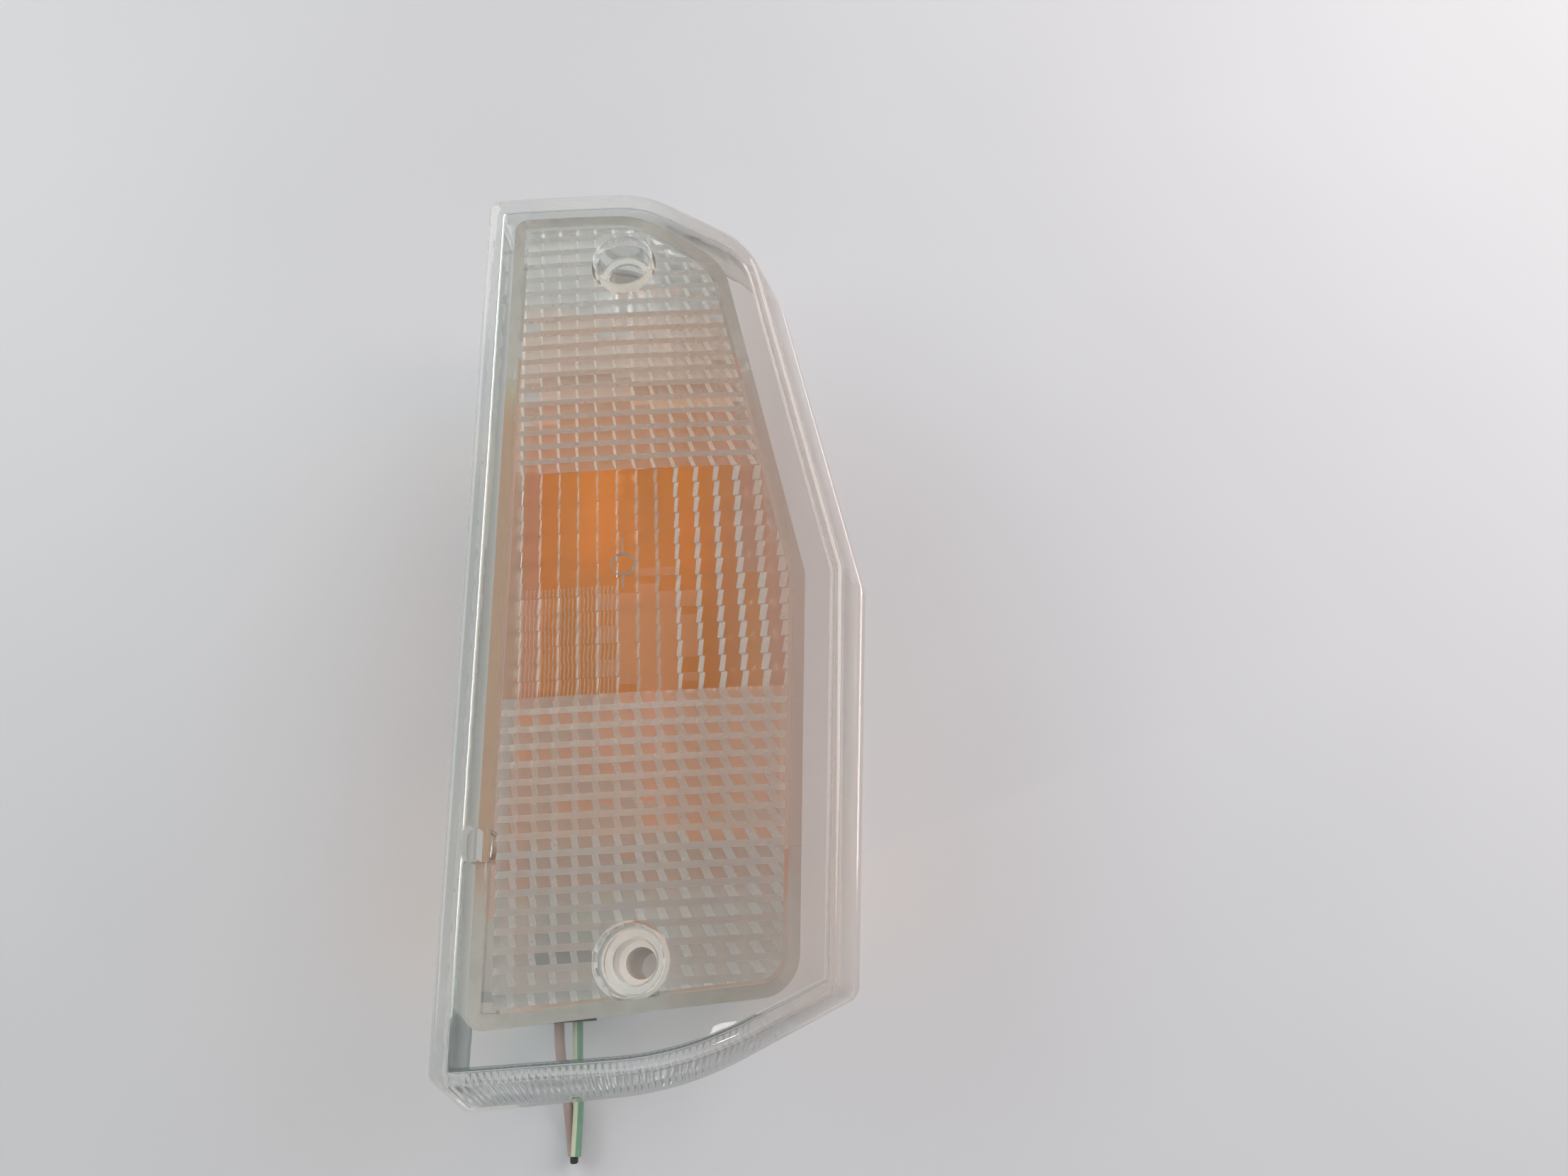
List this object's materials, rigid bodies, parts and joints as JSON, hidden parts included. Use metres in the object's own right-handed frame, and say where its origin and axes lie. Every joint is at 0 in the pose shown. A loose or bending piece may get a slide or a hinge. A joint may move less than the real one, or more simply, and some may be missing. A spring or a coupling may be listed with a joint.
{
  "type": "turn signal lamp",
  "caption": "Front turn signal lamp with a clear prismatic lens, an amber inner filter, a white housing tub and a bayonet bulb.",
  "frame": {"origin": "midway between the two fixing holes, on the flat back of the housing", "axes": "+Z out of the lens, +Y along the line of the fixing holes to the lamp's upper end, +X to the slanted side"},
  "size_m": [0.0771, 0.1852, 0.0435],
  "materials": {
    "clear_lens": "clear moulded acrylic, gloss",
    "amber_filter": "amber transparent plastic, gloss",
    "gasket_rubber": "light grey foam rubber, matt",
    "white_plastic": "off-white moulded plastic, satin",
    "reflector_metal": "bright rolled sheet",
    "bulb_glass": "clear glass",
    "support_wire": "nickel wire",
    "filament_wire": "drawn tungsten",
    "plated_brass": "nickel-plated brass",
    "black_insulator": "black base glass",
    "solder": "tin solder, dull",
    "plated_steel": "zinc-plated steel",
    "insulator_board": "phenolic board",
    "brass": "bright brass",
    "spring_steel": "spring wire",
    "screw_steel": "zinc-plated screws",
    "black_rubber": "moulded black rubber",
    "brown_sheath": "pale brown PVC sheath",
    "green_sheath": "green PVC sheath with a cream stripe",
    "black_sleeve": "small dark seal at the lead ends"
  },
  "bodies": {
    "housing": {"housing": "white_plastic", "lens_gasket": "gasket_rubber", "reflector": "reflector_metal", "socket_shell": "plated_steel", "contact_spring": "spring_steel", "socket_end_plate": "insulator_board", "signal_terminal": "brass", "earth_terminal": "brass", "socket_bracket": "plated_steel", "bracket_screws": "screw_steel", "lead_grommet": "black_rubber", "brown_lead": "brown_sheath", "green_lead": "green_sheath", "lead_end_sleeve": "black_sleeve"},
    "lens": {"outer_lens": "clear_lens", "amber_filter": "amber_filter"},
    "bulb": {"bulb_glass": "bulb_glass", "glass_stem": "bulb_glass", "filament_supports": "support_wire", "filament": "filament_wire", "bulb_cap": "plated_brass", "bulb_insulator": "black_insulator", "bulb_contact": "solder"},
    "contact": {"contact_plunger": "brass", "contact_disc": "insulator_board"}
  },
  "joints": [
    {"name": "lens_lift", "type": "slide", "parent": "housing", "child": "lens", "axis": [0, 0, 1], "range_m": [0, 0.04]},
    {"name": "bulb_push", "type": "slide", "parent": "housing", "child": "bulb", "axis": [0, -1, 0], "range_m": [0, 0.002], "stiffness_N_per_m": 2000, "springref_m": -0.001},
    {"name": "contact_slide", "type": "slide", "parent": "housing", "child": "contact", "axis": [0, -1, 0], "range_m": [0, 0.002], "deforming": ["contact_spring"]}
  ],
  "couplings": [
    {"joint": "contact_slide", "follows": "bulb_push", "ratio": 1}
  ]
}
